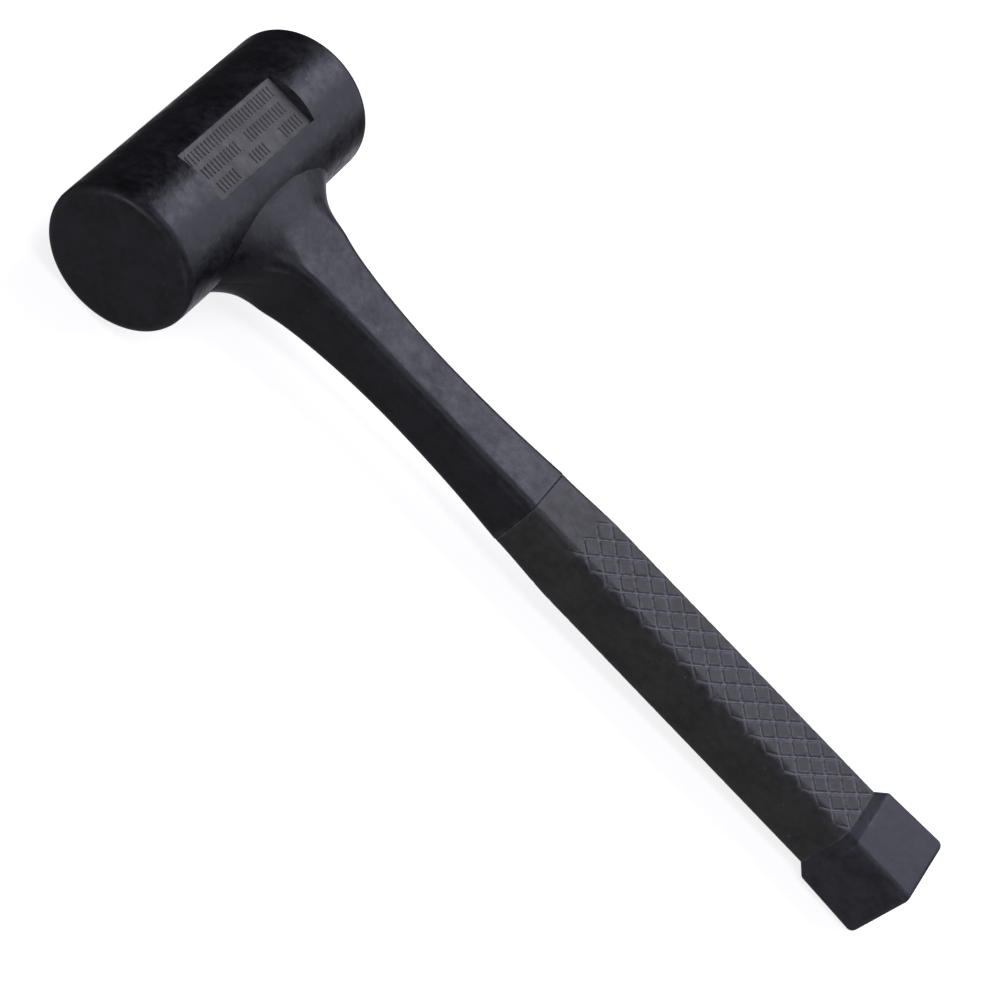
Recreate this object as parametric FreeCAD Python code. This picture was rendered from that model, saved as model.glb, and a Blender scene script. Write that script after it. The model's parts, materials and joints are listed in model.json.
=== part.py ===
"""Dead-blow mallet: cast polyurethane over a shot-filled steel canister and a steel handle core.

The mallet lies on its side. +X runs along the handle from the head to the butt, +Y along the
head from the front strike face to the rear one, +Z up. The row's origin is the centre of the
bounding box's underside. Inside this file every place is measured from the head's centre, and
write() moves each finished piece into the row's frame.
"""
import FreeCAD, Part
import math
import os

from FreeCAD import Vector

os.makedirs("parts", exist_ok=True)

# ---------------------------------------------------------------- driving sizes, in mm
overall_length = 331.0          # head's far side to the butt face

head_diameter = 50.0
head_length = 105.0
head_rim_fillet = 3.2

neck_waist_at = 91.0            # where the neck is thinnest, from the head's centre
neck_waist_half = 10.05         # half the side of the square section there
neck_root_rise = 4.95           # how much the half side grows from the waist to the head
neck_end_rise = 1.4             # and from the waist to the grip
neck_root_flare_y = 28.0        # widening along the head where the neck runs into it
neck_root_flare_z = 2.1
neck_root_flare_share = 0.53    # part of the flare that is left at the head's surface
neck_root_flare_reach = 4.6     # distance over which the flare dies away
neck_facet_length = 17.0        # from the round root to the square neck
corner_radius = 4.0             # long edges of the neck and the grip
seam_at = 139.4                 # joint of the neck moulding and the grip, from the head's centre
seam_chamfer = 0.35

grip_start_half = 11.35
grip_full_half = 12.1           # half side once the grip has swelled
grip_swell_length = 26.0
grip_end_half = 12.3
grip_end_margin = 0.6           # small draft-free land left before the butt

groove_pitch_x = 7.8            # diamonds, corner to corner along the grip
groove_pitch_y = 8.5            # and across it
groove_width = 0.9
groove_depth = 0.5
groove_start = 17.5             # first corners, from the seam
groove_rows = 3                 # rows of corners on each side of the grip's middle line

butt_length = 27.5
butt_start_half = 14.25         # half side behind the shoulder
butt_end_half = 14.95           # and at the end: the block widens by its mould draft
butt_corner_radius = 2.4
butt_shoulder_length = 3.6      # sloping shoulder that faces the grip
butt_shoulder_step = 2.2
butt_rim_fillet = 1.7
butt_end_wall = 5.5

label_width = 19.2              # recess in the head's upper side, along the handle
label_length = 53.2             # and along the head
label_centre = (-0.45, -0.6)    # from the crossing of the head's axis and the handle's
label_depth = 3.0
label_end_draft = 16.0          # degrees, on the two short walls
label_side_draft = 4.0
label_bar_rows = 3
label_bar_row_pitch = 5.9
label_bar_size = (3.9, 0.9)     # along the handle, along the head
label_bar_pitch = 1.9
label_bar_height = 0.4
label_bar_margin = 2.6

strike_wall = 12.5              # polyurethane between a strike face and the canister
side_wall = 6.0                 # and around the canister
canister_wall = 2.0
end_cap_thickness = 4.0
end_cap_inset = 1.6             # the caps sit this far inside the tube's ends
end_weld_size = 0.9
fill_hole_diameter = 9.0
fill_plug_head = 1.2
fill_plug_head_overhang = 1.5

shot_diameter = 6.35
shot_gap = 0.05                 # between neighbouring balls
shot_wall_gap = 0.5             # least gap to the tube's bore
shot_end_gap = 0.2              # to the cap that the charge rests against
shot_fill = 0.62                # share of the canister's inner length that the charge takes

core_diameter = 12.7
core_wall = 2.1
core_end_margin = 2.2           # the core's plug stops this far inside the butt's end wall
socket_diameter = 20.0
socket_reach = 17.0             # the socket stands this far off the canister
socket_weld_size = 2.4
pin_diameter = 4.0
pin_from_socket_end = 6.0
plug_spigot_length = 8.0
plug_head_thickness = 2.0

anchor_diameter = 16.0
anchor_thickness = 3.0
anchor_from_seam = (-84.0, 42.0, 104.0)     # one in the neck, two in the grip
anchor_from_butt_shoulder = 10.9            # and one in the butt

spigot_half = 8.7               # stub of the neck that the grip is moulded over
spigot_length = 14.0
spigot_corner_radius = 3.0
butt_spigot_half = 9.4          # stub of the grip inside the butt
butt_spigot_length = 14.9

# ---------------------------------------------------------------- what follows from them
head_radius = head_diameter / 2
butt_end = overall_length - head_radius
butt_start = butt_end - butt_length
grip_end = butt_start

canister_radius = head_radius - side_wall
bore_radius = canister_radius - canister_wall
canister_half = head_length / 2 - strike_wall
cap_outer = canister_half - end_cap_inset
cap_inner = cap_outer - end_cap_thickness

core_radius = core_diameter / 2
socket_end = canister_radius + socket_reach
core_end = butt_end - butt_end_wall - core_end_margin - plug_head_thickness
label_floor = head_radius - label_depth

X = Vector(1, 0, 0)
Y = Vector(0, 1, 0)
Z = Vector(0, 0, 1)
row_origin = Vector(butt_end - overall_length / 2, 0, -head_radius)


def write(name, shape):
    """Moves a piece into the row's frame and writes its STEP file."""
    placed = shape.copy()
    placed.translate(row_origin * -1)
    if not placed.isValid():
        raise RuntimeError(name + " is not a valid shape")
    placed.exportStep("parts/" + name + ".step")
    print(name, len(placed.Solids), "solids", round(placed.Volume), "mm3")


def rod(radius, start, length, axis=X, at=Vector(0, 0, 0)):
    """A cylinder whose axis passes through `at` and that starts `start` along it."""
    return Part.makeCylinder(radius, length, at + axis * start, axis)


def smooth_step(t):
    t = min(max(t, 0.0), 1.0)
    return t * t * (3 - 2 * t)


def section(x, half_y, half_z, corner_y, corner_z):
    """Rounded rectangle across the handle: four straight edges and four quarter ellipses."""
    edges = []
    flat_y = half_y - corner_y
    flat_z = half_z - corner_z
    quarter = ((1, 1), (-1, 1), (-1, -1), (1, -1))
    for index, (sy, sz) in enumerate(quarter):
        side = Vector(x, sy * half_y, sz * flat_z)
        corner = Vector(x, sy * half_y, sz * half_z)
        top = Vector(x, sy * flat_y, sz * half_z)
        first, last = (side, top) if sy == sz else (top, side)
        arc = Part.BezierCurve()
        arc.setPoles([first, corner, last])
        arc.setWeight(2, math.sqrt(0.5))
        edges.append(arc.toShape())
        next_y, next_z = quarter[(index + 1) % 4]
        if sy == sz:
            following = Vector(x, next_y * flat_y, next_z * half_z)
        else:
            following = Vector(x, next_y * half_y, next_z * flat_z)
        edges.append(Part.LineSegment(last, following).toShape())
    return Part.Wire(edges)


def square(x, half, corner):
    return section(x, half, half, corner, corner)


def prism(start, end, half, corner):
    """Square bar with rounded long edges."""
    return Part.makeLoft([square(start, half, corner), square(end, half, corner)], True, True)


# ---------------------------------------------------------------- outer forms
def neck_section(x):
    """Section of the neck: an ellipse at the head that turns into a rounded square."""
    if x < neck_waist_at:
        reach = (neck_waist_at - x) / (neck_waist_at - head_radius)
        half = neck_waist_half + neck_root_rise * reach ** 2
    else:
        reach = (x - neck_waist_at) / (seam_at - neck_waist_at)
        half = neck_waist_half + neck_end_rise * reach ** 2
    decay = (1 / neck_root_flare_share - 1) * math.exp((x - head_radius) / neck_root_flare_reach)
    flare = 1 / (1 + decay)
    half_y = half + neck_root_flare_y * flare
    half_z = half + neck_root_flare_z * flare
    squareness = smooth_step((x - head_radius) / neck_facet_length)
    nearly_round = 0.97
    corner_y = half_y * nearly_round * (1 - squareness) + corner_radius * squareness
    corner_z = half_z * nearly_round * (1 - squareness) + corner_radius * squareness
    return section(x, half_y, half_z, corner_y, corner_z)


def neck_form():
    facet_end = head_radius + neck_facet_length
    shank_end = seam_at - seam_chamfer
    stations = [share * head_radius for share in (0.5, 0.6, 0.7, 0.8, 0.87, 0.94)]
    root_steps = 20
    for i in range(root_steps):
        stations.append(head_radius + neck_facet_length * i / root_steps)
    shank_steps = 16
    for i in range(shank_steps + 1):
        stations.append(facet_end + (shank_end - facet_end) * i / shank_steps)
    lip = square(seam_at, neck_waist_half + neck_end_rise - seam_chamfer, corner_radius - seam_chamfer)
    return Part.makeLoft([neck_section(x) for x in stations] + [lip], True, True)


def head_form():
    barrel = rod(head_radius, -head_length / 2, head_length, Y)
    rims = [edge for edge in barrel.Edges if abs(abs(edge.BoundBox.Center.y) - head_length / 2) < 0.1]
    return barrel.makeFillet(head_rim_fillet, rims)


def label_recess():
    """Tool that sinks the label recess and leaves its bars standing on the floor."""
    top = head_radius + 1.0
    levels = []
    for z in (label_floor, top):
        below_crown = head_radius - z       # the stated length and width are those at the crown
        half_x = label_width / 2 - below_crown * math.tan(math.radians(label_side_draft))
        half_y = label_length / 2 - below_crown * math.tan(math.radians(label_end_draft))
        corners = [Vector(-half_x, -half_y, z), Vector(half_x, -half_y, z),
                   Vector(half_x, half_y, z), Vector(-half_x, half_y, z)]
        corners = [corner + Vector(*label_centre, 0) for corner in corners]
        levels.append(Part.makePolygon(corners + corners[:1]))
    return Part.makeLoft(levels, True, True).cut(Part.makeCompound(label_bars()))


def label_bars():
    """Rows of plain upright bars."""
    bar_x, bar_y = label_bar_size
    run = label_length - 2 * (label_bar_margin + label_depth * math.tan(math.radians(label_end_draft)))
    count = int((run - bar_y) / label_bar_pitch) + 1
    bars = []
    for row in range(label_bar_rows):
        x = label_centre[0] + (row - (label_bar_rows - 1) / 2) * label_bar_row_pitch
        for i in range(count):
            y = label_centre[1] + (i - (count - 1) / 2) * label_bar_pitch
            corner = Vector(x - bar_x / 2, y - bar_y / 2, label_floor)
            bars.append(Part.makeBox(bar_x, bar_y, label_bar_height, corner))
    return bars


def grip_half(x):
    swell = smooth_step((x - seam_at) / grip_swell_length)
    taper = (x - seam_at) / (grip_end - seam_at)
    return grip_start_half + (grip_full_half - grip_start_half) * swell + (grip_end_half - grip_full_half) * taper


def grip_form():
    swell_steps = 5
    first = seam_at + seam_chamfer
    swell = grip_swell_length - seam_chamfer
    stations = [first + swell * i / swell_steps for i in range(swell_steps + 1)] + [grip_end]
    mouth = square(seam_at, grip_half(first) - seam_chamfer, corner_radius - seam_chamfer)
    return Part.makeLoft([mouth] + [square(x, grip_half(x), corner_radius) for x in stations], True, True)


def groove_bar(x, y, direction, length):
    """Bar that cuts one straight groove from (x, y); direction is +1 or -1 across the grip."""
    angle = math.degrees(math.atan2(direction * groove_pitch_y, groove_pitch_x))
    floor = grip_full_half - groove_depth
    bar = Part.makeBox(length + groove_width, groove_width, 2.0,
                       Vector(-groove_width / 2, -groove_width / 2, floor))
    bar.rotate(Vector(0, 0, 0), Z, angle)
    bar.translate(Vector(x, y, 0))
    return bar


def grip_grooves():
    """Two crossing families of grooves whose corners make rows of diamonds."""
    first = seam_at + groove_start
    edge = groove_rows * groove_pitch_y / 2
    side = math.hypot(groove_pitch_x, groove_pitch_y) / 2
    crossings = 2 * groove_rows
    last = grip_end - grip_end_margin
    bars = []
    column = -groove_rows + 1
    while first + column * groove_pitch_x < last:
        start = first + column * groove_pitch_x
        skipped = max(0, math.ceil((first - start) / (groove_pitch_x / 2) - 1e-6))
        steps = min(crossings, int((last - start) / (groove_pitch_x / 2)))
        if steps > skipped:
            x = start + skipped * groove_pitch_x / 2
            run = skipped * groove_pitch_y / 2
            for direction in (1, -1):
                y = direction * (run - edge)
                bars.append(groove_bar(x, y, direction, (steps - skipped) * side))
        column += 1
    upper = bars[0].multiFuse(bars[1:])
    return [upper, upper.mirror(Vector(0, 0, 0), Z)]


# ---------------------------------------------------------------- steel inside
def canister_tube():
    outer = rod(canister_radius, -canister_half, 2 * canister_half, Y)
    inner = rod(bore_radius, -canister_half, 2 * canister_half, Y)
    return outer.cut(inner)


def end_cap(side, filled):
    """Disc pressed into the canister's end; the rear one has the filling hole."""
    start = cap_inner if side > 0 else -cap_outer
    disc = rod(bore_radius, start, end_cap_thickness, Y)
    if filled:
        disc = disc.cut(rod(fill_hole_diameter / 2, start, end_cap_thickness, Y))
    return disc


def fill_plug():
    """Headed plug driven into the filling hole from outside."""
    stem = rod(fill_hole_diameter / 2, cap_inner, end_cap_thickness, Y)
    head = rod(fill_hole_diameter / 2 + fill_plug_head_overhang, cap_outer, fill_plug_head, Y)
    rim = [edge for edge in head.Edges if abs(edge.BoundBox.Center.y - cap_outer - fill_plug_head) < 0.01]
    return stem.fuse(head.makeChamfer(0.4, rim)).removeSplitter()


def end_weld(side):
    """Fillet weld in the corner between a cap and the tube's end."""
    inner = bore_radius - end_weld_size
    profile = [Vector(bore_radius, side * cap_outer, 0),
               Vector(inner, side * cap_outer, 0),
               Vector(bore_radius, side * (cap_outer + end_weld_size), 0)]
    face = Part.Face(Part.makePolygon(profile + profile[:1]))
    return face.revolve(Vector(0, 0, 0), Y, 360)


def canister_blank():
    return rod(canister_radius, -canister_half, 2 * canister_half, Y)


def core_blank():
    return rod(core_radius, 0, core_end)


def pin_blank():
    return rod(pin_diameter / 2, -socket_diameter / 2, socket_diameter, Z,
               Vector(socket_end - pin_from_socket_end, 0, 0))


def core_socket():
    """Collar saddled on the canister, bored for the handle core and cross-drilled for its pin."""
    collar = rod(socket_diameter / 2, 0, socket_end)
    tip = [edge for edge in collar.Edges if abs(edge.BoundBox.Center.x - socket_end) < 0.01]
    collar = collar.makeChamfer(0.8, tip)
    return collar.cut(canister_blank()).cut(core_blank()).cut(pin_blank())


def socket_weld():
    """Weld that runs round the socket's foot on the canister."""
    foot = socket_diameter / 2
    low = math.sqrt(canister_radius ** 2 - (foot + socket_weld_size) ** 2) - 1.0
    top = canister_radius + socket_weld_size
    cone = Part.makeCone(foot + socket_weld_size + 1.2, foot, top - low, Vector(low, 0, 0), X)
    ring = cone.cut(rod(foot, 0, socket_end)).cut(canister_blank())
    return ring


def handle_core():
    tube = rod(core_radius, 0, core_end).cut(rod(core_radius - core_wall, 0, core_end))
    return tube.cut(canister_blank()).cut(pin_blank())


def core_plug():
    stem = rod(core_radius - core_wall, core_end - plug_spigot_length, plug_spigot_length)
    return stem.fuse(rod(core_radius, core_end, plug_head_thickness)).removeSplitter()


def anchor_places():
    places = [seam_at + offset for offset in anchor_from_seam]
    places.append(butt_start + anchor_from_butt_shoulder)
    return places


def anchor_blank(x):
    ring = rod(anchor_diameter / 2, x - anchor_thickness / 2, anchor_thickness)
    return ring.makeChamfer(0.5, [edge for edge in ring.Edges if edge.Length > anchor_diameter])


def anchor_rings():
    rings = [anchor_blank(x).cut(core_blank()) for x in anchor_places()]
    return Part.makeCompound(rings)


def shot_ring_places():
    """Centres of one layer of balls across the bore, as a hexagon of rings."""
    step = shot_diameter + shot_gap
    limit = bore_radius - shot_wall_gap - shot_diameter / 2
    places = []
    span = int(limit / step) + 1
    for i in range(-span, span + 1):
        for j in range(-span, span + 1):
            a = step * (i + j / 2)
            b = step * j * math.sqrt(3) / 2
            if math.hypot(a, b) <= limit:
                places.append((a, b))
    return places


def shot_layers():
    return int(shot_fill * 2 * cap_inner / (shot_diameter + shot_gap))


def shot():
    """Steel balls in layers against the front cap, each layer turned a little from the last."""
    step = shot_diameter + shot_gap
    first = -cap_inner + shot_end_gap + shot_diameter / 2
    turn = math.radians(17)
    balls = []
    for layer in range(shot_layers()):
        y = first + layer * step
        for a, b in shot_ring_places():
            angle = layer * turn
            x = a * math.cos(angle) - b * math.sin(angle)
            z = a * math.sin(angle) + b * math.cos(angle)
            balls.append(Part.makeSphere(shot_diameter / 2, Vector(x, y, z)))
    return Part.makeCompound(balls)


# ---------------------------------------------------------------- mouldings
def steel_inside():
    """Everything that the mouldings are cast round, as solid blanks."""
    blanks = [canister_blank(), core_blank(), rod(core_radius, core_end, plug_head_thickness)]
    blanks.append(rod(socket_diameter / 2, 0, socket_end))
    blanks.append(socket_weld())
    blanks.append(pin_blank())
    blanks += [anchor_blank(x) for x in anchor_places()]
    return blanks


def neck_spigot():
    return prism(seam_at, seam_at + spigot_length, spigot_half, spigot_corner_radius)


def butt_spigot():
    return prism(grip_end, grip_end + butt_spigot_length, butt_spigot_half, spigot_corner_radius)


def head_casing():
    form = head_form().fuse(neck_form()).fuse(neck_spigot())
    form = form.cut(label_recess())
    inside = steel_inside()
    return form.cut(inside[0].multiFuse(inside[1:]))


def grip_sleeve():
    form = grip_form().fuse(butt_spigot()).cut(neck_spigot())
    for grooves in grip_grooves():
        form = form.cut(grooves)
    inside = steel_inside()
    return form.cut(inside[1].multiFuse(inside[2:]))


def butt_cap():
    shoulder_end = butt_start + butt_shoulder_length
    rings = [square(butt_start, butt_start_half - butt_shoulder_step, butt_corner_radius),
             square(shoulder_end, butt_start_half, butt_corner_radius),
             square(butt_end, butt_end_half, butt_corner_radius)]
    block = Part.makeLoft(rings, True, True)
    rim = [edge for edge in block.Edges if abs(edge.BoundBox.XMin - butt_end) < 0.01]
    block = block.makeFillet(butt_rim_fillet, rim)
    inside = steel_inside()
    return block.cut(butt_spigot()).cut(inside[1].multiFuse(inside[2:]))


def one_solid(shape):
    """The shape's single solid, so that a cut that leaves crumbs is noticed."""
    if len(shape.Solids) != 1:
        raise RuntimeError("expected one solid, got " + str(len(shape.Solids)))
    return shape.Solids[0]


write("head_casing", one_solid(head_casing()))
write("grip_sleeve", one_solid(grip_sleeve()))
write("butt_cap", one_solid(butt_cap()))
write("canister_tube", canister_tube())
write("canister_front_cap", end_cap(-1, False))
write("canister_rear_cap", end_cap(1, True))
write("fill_plug", fill_plug())
write("end_cap_welds", Part.makeCompound([end_weld(-1), end_weld(1)]))
write("core_socket", one_solid(core_socket()))
write("socket_weld", one_solid(socket_weld()))
write("handle_core", one_solid(handle_core()))
write("cross_pin", pin_blank())
write("core_end_plug", core_plug())
write("anchor_rings", anchor_rings())
write("shot", shot())
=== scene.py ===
# Dead-blow mallet lying on its side: cast polyurethane over a shot-filled canister and a steel core.
# Metres: +X along the handle, +Y along the head, +Z up.
import json
import math

import bmesh
import bpy
import numpy as np
from mathutils import Matrix, Vector


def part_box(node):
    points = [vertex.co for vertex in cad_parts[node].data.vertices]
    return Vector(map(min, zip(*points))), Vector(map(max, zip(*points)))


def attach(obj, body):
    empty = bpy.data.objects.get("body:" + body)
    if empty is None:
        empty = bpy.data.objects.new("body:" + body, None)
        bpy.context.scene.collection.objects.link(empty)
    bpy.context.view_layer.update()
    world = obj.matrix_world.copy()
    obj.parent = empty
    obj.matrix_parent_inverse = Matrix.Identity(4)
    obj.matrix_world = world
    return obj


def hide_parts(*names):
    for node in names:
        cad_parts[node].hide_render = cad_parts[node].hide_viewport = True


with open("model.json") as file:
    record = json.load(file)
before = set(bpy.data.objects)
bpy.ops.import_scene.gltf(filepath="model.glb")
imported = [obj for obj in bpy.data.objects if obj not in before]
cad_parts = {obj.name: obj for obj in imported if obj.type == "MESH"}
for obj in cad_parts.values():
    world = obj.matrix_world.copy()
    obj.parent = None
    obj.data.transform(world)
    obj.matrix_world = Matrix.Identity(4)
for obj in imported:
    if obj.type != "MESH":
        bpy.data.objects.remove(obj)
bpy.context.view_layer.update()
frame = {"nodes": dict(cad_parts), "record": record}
scene = bpy.context.scene
mm = 0.001

casingLow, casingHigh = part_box("head_casing")
gripLow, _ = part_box("grip_sleeve")
buttLow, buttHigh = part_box("butt_cap")
coreLow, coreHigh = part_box("handle_core")
shotLow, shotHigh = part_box("shot")
headRadius = (casingHigh.z - casingLow.z) / 2
headLength = casingHigh.y - casingLow.y
headX = casingLow.x + headRadius           # where the head's axis crosses the handle's
axisZ = casingLow.z + headRadius
seamX = gripLow.x                          # joint of the neck and the grip
buttX = buttLow.x
coreRadius = (coreHigh.z - coreLow.z) / 2


# 0 below 0, 1 above 1, and an even S between.
def smoothStep(t):
    t = min(max(t, 0.0), 1.0)
    return t * t * (3 - 2 * t)


# sRGB hex to the linear values that shaders take.
def linearColor(hexText):
    out = []
    for i in (0, 2, 4):
        c = int(hexText[i:i + 2], 16) / 255
        out.append(c / 12.92 if c <= 0.04045 else ((c + 0.055) / 1.055) ** 2.4)
    return (*out, 1.0)


def meshObject(name, vertices, faces):
    mesh = bpy.data.meshes.new(name)
    mesh.from_pydata([tuple(v) for v in vertices], [], faces)
    mesh.validate()
    thing = bpy.data.objects.new(name, mesh)
    scene.collection.objects.link(thing)
    return thing


# Merges doubled points and turns every face outwards.
def fixNormals(thing):
    bm = bmesh.new()
    bm.from_mesh(thing.data)
    bmesh.ops.remove_doubles(bm, verts=bm.verts, dist=0.0001 * mm)
    bmesh.ops.recalc_face_normals(bm, faces=bm.faces)
    bm.to_mesh(thing.data)
    bm.free()


# Smooth shading, apart from edges that turn by more than the angle.
def smoothByAngle(thing, degrees):
    thing.data.shade_smooth()
    thing.data.set_sharp_from_angle(angle=math.radians(degrees))


# Skin over rings of equal count. A closed one joins its last ring to its first, others get two end caps.
def loftRings(name, rings, closed):
    count = len(rings[0])
    vertices = [p for ring in rings for p in ring]
    faces = []
    spans = len(rings) if closed else len(rings) - 1
    for i in range(spans):
        a = i * count
        b = ((i + 1) % len(rings)) * count
        for j in range(count):
            k = (j + 1) % count
            faces.append((a + j, a + k, b + k, b + j))
    if not closed:
        for start in (0, (len(rings) - 1) * count):
            middle = sum((Vector(vertices[start + j]) for j in range(count)), Vector()) / count
            vertices.append(tuple(middle))
            for j in range(count):
                faces.append((start + j, start + (j + 1) % count, len(vertices) - 1))
    thing = meshObject(name, vertices, faces)
    fixNormals(thing)
    return thing


# Keeps what a modifier makes of a piece as its plain mesh.
def applyModifier(thing, modifier):
    evaluated = thing.evaluated_get(bpy.context.evaluated_depsgraph_get())
    mesh = bpy.data.meshes.new_from_object(evaluated)
    thing.modifiers.remove(modifier)
    thing.data = mesh


# Joins a solid to a piece or cuts it out of one, and uses the solid up.
def combine(thing, tool, operation):
    modifier = thing.modifiers.new("combine", "BOOLEAN")
    modifier.solver = "EXACT"
    modifier.operation = operation
    modifier.object = tool
    applyModifier(thing, modifier)
    bpy.data.objects.remove(tool)


# One node with its settings, and its inputs set to values or linked from sockets.
def addNode(tree, kind, inputs=None, **settings):
    node = tree.nodes.new(kind)
    for key, value in settings.items():
        setattr(node, key, value)
    for key, value in (inputs or {}).items():
        if isinstance(value, bpy.types.NodeSocket):
            tree.links.new(value, node.inputs[key])
        else:
            node.inputs[key].default_value = value
    return node


# neck
neckShape = {
    "waistAt": 91 * mm, "waistHalf": 10.05 * mm,       # thinnest place, from the head's axis
    "rootRise": 4.95 * mm, "endRise": 1.4 * mm,        # how much thicker at the head and at the seam
    "flareY": 28 * mm, "flareZ": 2.1 * mm, "flareShare": 0.53, "flareReach": 4.6 * mm,
    "facetLength": 17 * mm,                            # from round at the root to square
    "corner": 4 * mm, "nearlyRound": 0.97,
    "lip": 0.22 * mm,                                  # small chamfer beside the seam
    "rootSteps": 34, "shankSteps": 60,
    "buried": (0.5, 0.6, 0.68, 0.76, 0.84, 0.92),      # sections inside the head, in head radii
}


# Half width, half height and the two corner sizes at a distance x from the head's axis.
def neckHalves(x):
    n = neckShape
    if x < n["waistAt"]:
        reach = (n["waistAt"] - x) / (n["waistAt"] - headRadius)
        half = n["waistHalf"] + n["rootRise"] * reach ** 2
    else:
        reach = (x - n["waistAt"]) / (seamX - headX - n["waistAt"])
        half = n["waistHalf"] + n["endRise"] * reach ** 2
    decay = (1 / n["flareShare"] - 1) * math.exp((x - headRadius) / n["flareReach"])
    flare = 1 / (1 + decay)
    halfY = half + n["flareY"] * flare
    halfZ = half + n["flareZ"] * flare
    square = smoothStep((x - headRadius) / n["facetLength"])
    cornerY = halfY * n["nearlyRound"] * (1 - square) + n["corner"] * square
    cornerZ = halfZ * n["nearlyRound"] * (1 - square) + n["corner"] * square
    return halfY, halfZ, cornerY, cornerZ


# Ring across the handle with straight flats and elliptical corners.
def roundedRing(x, halfY, halfZ, cornerY, cornerZ, flatSteps=12, cornerSteps=14):
    ring = []
    flatY, flatZ = halfY - cornerY, halfZ - cornerZ
    signs = ((1, 1), (-1, 1), (-1, -1), (1, -1))
    for turn, (signY, signZ) in enumerate(signs):
        a0 = turn * math.pi / 2
        cy, cz = signY * flatY, signZ * flatZ
        for i in range(cornerSteps):
            a = a0 + math.pi / 2 * i / cornerSteps
            ring.append((x, cy + cornerY * math.cos(a), axisZ + cz + cornerZ * math.sin(a)))
        a = a0 + math.pi / 2
        startY, startZ = cy + cornerY * math.cos(a), cz + cornerZ * math.sin(a)
        nextY, nextZ = signs[(turn + 1) % 4]
        endY = nextY * flatY + cornerY * math.cos(a)
        endZ = nextZ * flatZ + cornerZ * math.sin(a)
        for i in range(flatSteps):
            t = i / flatSteps
            ring.append((x, startY + (endY - startY) * t, axisZ + startZ + (endZ - startZ) * t))
    return ring


def squareRing(x, half, corner, **steps):
    return roundedRing(x, half, half, corner, corner, **steps)


# head and neck casting
headShape = {
    "rim": 3.2 * mm, "rimSteps": 10, "barrelSteps": 60, "around": 224,
    "faceRings": (0.3, 0.6, 0.85),         # rings of the strike face, as shares of its flat
    "skin": 0.07 * mm,                     # room for the flash bead inside the head's full size
    "labelWidth": 19.2 * mm, "labelLength": 53.2 * mm, "labelDepth": 3 * mm,
    "labelX": -0.45 * mm, "labelY": -0.6 * mm,
    "endDraft": 16, "sideDraft": 4,        # degrees
    "canisterRadius": 19 * mm, "canisterHalf": 40 * mm,
    "spigotHalf": 8.7 * mm, "spigotLength": 14 * mm, "spigotCorner": 3 * mm,
    "socketRadius": 10 * mm, "socketReach": 17 * mm,
    "hollowSides": 96, "sharpOver": 32,
}


# Solid turned about the head's axis, from its radius and y at each step.
def turnedAboutHead(name, profile, around):
    rings = []
    for radius, y in profile:
        ring = []
        for j in range(around):
            a = 2 * math.pi * j / around
            ring.append((headX + radius * math.cos(a), y, axisZ + radius * math.sin(a)))
        rings.append(ring)
    return loftRings(name, rings, False)


# Round bar along the handle's axis.
def turnedAboutHandle(name, radius, start, end, around):
    rings = []
    for x in (start, end):
        ring = []
        for j in range(around):
            a = 2 * math.pi * j / around
            ring.append((x, radius * math.cos(a), axisZ + radius * math.sin(a)))
        rings.append(ring)
    return loftRings(name, rings, False)


def makeHeadCasing():
    h, n = headShape, neckShape
    end = headLength / 2 - h["skin"]
    radius = headRadius - h["skin"]
    rim, steps = h["rim"], h["rimSteps"]
    corner = []
    for i in range(steps + 1):
        a = math.pi / 2 * i / steps
        corner.append((radius - rim + rim * math.sin(a), end - rim + rim * math.cos(a)))
    half = [((radius - rim) * share, end) for share in h["faceRings"]] + corner
    straight = end - rim
    barrel = []
    for i in range(1, h["barrelSteps"]):
        barrel.append((radius, straight - 2 * straight * i / h["barrelSteps"]))
    profile = half + barrel + [(r, -y) for r, y in reversed(half)]
    casing = turnedAboutHead("headCasing", profile, h["around"])

    stations = [headRadius * share for share in n["buried"]]
    for i in range(n["rootSteps"]):
        stations.append(headRadius + n["facetLength"] * i / n["rootSteps"])
    facetEnd = headRadius + n["facetLength"]
    shankEnd = seamX - headX - n["lip"]
    for i in range(n["shankSteps"] + 1):
        stations.append(facetEnd + (shankEnd - facetEnd) * i / n["shankSteps"])
    rings = [roundedRing(headX + x, *neckHalves(x)) for x in stations]
    lip = n["lip"]
    rings.append(squareRing(seamX, n["waistHalf"] + n["endRise"] - lip, n["corner"] - lip))
    spigotEnd = seamX + h["spigotLength"]
    rings.append(squareRing(seamX, h["spigotHalf"], h["spigotCorner"]))
    rings.append(squareRing(spigotEnd, h["spigotHalf"], h["spigotCorner"]))
    neck = loftRings("neckForm", rings, False)
    combine(casing, neck, "UNION")

    sides = h["hollowSides"]
    profile = [(h["canisterRadius"], h["canisterHalf"]), (h["canisterRadius"], -h["canisterHalf"])]
    socketEnd = headX + h["canisterRadius"] + h["socketReach"]
    hollows = (labelRecess(), turnedAboutHead("canisterHollow", profile, sides),
               turnedAboutHandle("socketHollow", h["socketRadius"], headX, socketEnd, sides),
               turnedAboutHandle("coreHollow", coreRadius, headX, spigotEnd + mm, sides))
    for hollow in hollows:
        combine(casing, hollow, "DIFFERENCE")
    smoothByAngle(casing, h["sharpOver"])
    markPanel(casing)
    markWear(casing)
    print("head casing", len(casing.data.polygons), "faces")
    return casing


# Marks the recess's floor, which came from a lightly etched insert in the mould.
def markPanel(casing):
    floor = axisZ + headRadius - headShape["labelDepth"]
    closeTo, facingUp = 0.01 * mm, 0.99
    panel = casing.data.attributes.new("panel", "FLOAT", "FACE")
    for face in casing.data.polygons:
        level = abs(face.center.z - floor) < closeTo and face.normal.z > facingUp
        panel.data[face.index].value = 1.0 if level else 0.0


# The same mark all over a piece.
def markWhole(thing, key, value=1.0):
    layer = thing.data.attributes.new(key, "FLOAT", "POINT")
    layer.data.foreach_set("value", [value] * len(thing.data.vertices))


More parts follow.
